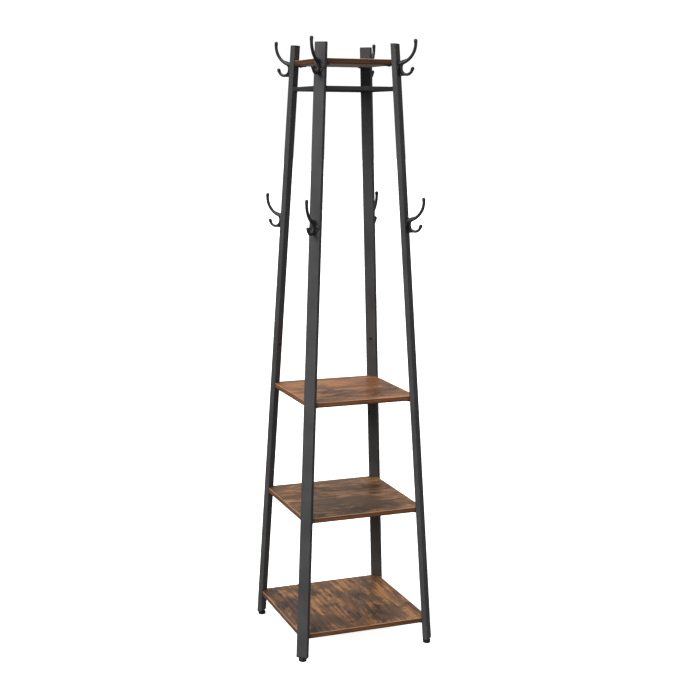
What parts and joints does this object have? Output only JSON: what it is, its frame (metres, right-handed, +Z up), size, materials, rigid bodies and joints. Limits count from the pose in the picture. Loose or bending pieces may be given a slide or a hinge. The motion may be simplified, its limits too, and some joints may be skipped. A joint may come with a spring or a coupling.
{
  "type": "hall tree with hooks",
  "caption": "Free-standing hall tree: leaning square steel frame with wooden shelves, a small top board, double coat hooks on the legs and screw-out levelling feet.",
  "frame": {"origin": "middle of the footprint, on the floor", "axes": "+Z up, along the stand's height; -Y is the front, and a leg stands on each diagonal between X and Y"},
  "size_m": [0.4332, 0.4332, 1.7881],
  "materials": {
    "black_powder_coat": "matt charcoal-black powder coat",
    "hook_coat": "satin black coating on a die-cast hook",
    "blackened_screw": "blackened screw steel",
    "zinc_steel": "zinc-plated stud",
    "black_plastic": "matt black plastic",
    "foot_plastic": "matt black plastic",
    "rustic_board": "rustic brown wood-grain decor on particle board"
  },
  "bodies": {
    "stand": {"lower_leg_front_left": "black_powder_coat", "upper_leg_front_left": "black_powder_coat", "leg_cap_front_left": "black_plastic", "foot_plug_front_left": "black_plastic", "sleeve_screw_front_left": "blackened_screw", "coat_hook_top_front_left": "hook_coat", "hook_screw_top_front_left_a": "blackened_screw", "hook_screw_top_front_left_b": "blackened_screw", "coat_hook_low_front_left": "hook_coat", "hook_screw_low_front_left_a": "blackened_screw", "hook_screw_low_front_left_b": "blackened_screw", "lower_leg_front_right": "black_powder_coat", "upper_leg_front_right": "black_powder_coat", "leg_cap_front_right": "black_plastic", "foot_plug_front_right": "black_plastic", "sleeve_screw_front_right": "blackened_screw", "coat_hook_top_front_right": "hook_coat", "hook_screw_top_front_right_a": "blackened_screw", "hook_screw_top_front_right_b": "blackened_screw", "coat_hook_low_front_right": "hook_coat", "hook_screw_low_front_right_a": "blackened_screw", "hook_screw_low_front_right_b": "blackened_screw", "lower_leg_back_right": "black_powder_coat", "upper_leg_back_right": "black_powder_coat", "leg_cap_back_right": "black_plastic", "foot_plug_back_right": "black_plastic", "sleeve_screw_back_right": "blackened_screw", "coat_hook_top_back_right": "hook_coat", "hook_screw_top_back_right_a": "blackened_screw", "hook_screw_top_back_right_b": "blackened_screw", "coat_hook_low_back_right": "hook_coat", "hook_screw_low_back_right_a": "blackened_screw", "hook_screw_low_back_right_b": "blackened_screw", "lower_leg_back_left": "black_powder_coat", "upper_leg_back_left": "black_powder_coat", "leg_cap_back_left": "black_plastic", "foot_plug_back_left": "black_plastic", "sleeve_screw_back_left": "blackened_screw", "coat_hook_top_back_left": "hook_coat", "hook_screw_top_back_left_a": "blackened_screw", "hook_screw_top_back_left_b": "blackened_screw", "coat_hook_low_back_left": "hook_coat", "hook_screw_low_back_left_a": "blackened_screw", "hook_screw_low_back_left_b": "blackened_screw", "tie_bar_front": "black_powder_coat", "tie_bar_right": "black_powder_coat", "tie_bar_back": "black_powder_coat", "tie_bar_left": "black_powder_coat", "shelf_bottom": "rustic_board", "shelf_middle": "rustic_board", "shelf_upper": "rustic_board", "top_board": "rustic_board"},
    "stud_front_left": {"foot_stud_front_left": "zinc_steel"},
    "pad_front_left": {"foot_pad_front_left": "foot_plastic"},
    "stud_front_right": {"foot_stud_front_right": "zinc_steel"},
    "pad_front_right": {"foot_pad_front_right": "foot_plastic"},
    "stud_back_right": {"foot_stud_back_right": "zinc_steel"},
    "pad_back_right": {"foot_pad_back_right": "foot_plastic"},
    "stud_back_left": {"foot_stud_back_left": "zinc_steel"},
    "pad_back_left": {"foot_pad_back_left": "foot_plastic"}
  },
  "joints": [
    {"name": "foot_travel_front_left", "type": "slide", "parent": "stand", "child": "stud_front_left", "axis": [0, 0, -1], "range_m": [0, 0.01]},
    {"name": "foot_turn_front_left", "type": "hinge", "parent": "stud_front_left", "child": "pad_front_left", "pos_m": [-0.19901, -0.19901, 0], "axis": [0, 0, 1], "range_deg": [0, 3600]},
    {"name": "foot_travel_front_right", "type": "slide", "parent": "stand", "child": "stud_front_right", "axis": [0, 0, -1], "range_m": [0, 0.01]},
    {"name": "foot_turn_front_right", "type": "hinge", "parent": "stud_front_right", "child": "pad_front_right", "pos_m": [0.19901, -0.19901, 0], "axis": [0, 0, 1], "range_deg": [0, 3600]},
    {"name": "foot_travel_back_right", "type": "slide", "parent": "stand", "child": "stud_back_right", "axis": [0, 0, -1], "range_m": [0, 0.01]},
    {"name": "foot_turn_back_right", "type": "hinge", "parent": "stud_back_right", "child": "pad_back_right", "pos_m": [0.19901, 0.19901, 0], "axis": [0, 0, 1], "range_deg": [0, 3600]},
    {"name": "foot_travel_back_left", "type": "slide", "parent": "stand", "child": "stud_back_left", "axis": [0, 0, -1], "range_m": [0, 0.01]},
    {"name": "foot_turn_back_left", "type": "hinge", "parent": "stud_back_left", "child": "pad_back_left", "pos_m": [-0.19901, 0.19901, 0], "axis": [0, 0, 1], "range_deg": [0, 3600]}
  ],
  "couplings": [
    {"joint": "foot_travel_front_left", "follows": "foot_turn_front_left", "m_per_rad": 0.00015915},
    {"joint": "foot_travel_front_right", "follows": "foot_turn_front_right", "m_per_rad": 0.00015915},
    {"joint": "foot_travel_back_right", "follows": "foot_turn_back_right", "m_per_rad": 0.00015915},
    {"joint": "foot_travel_back_left", "follows": "foot_turn_back_left", "m_per_rad": 0.00015915}
  ]
}
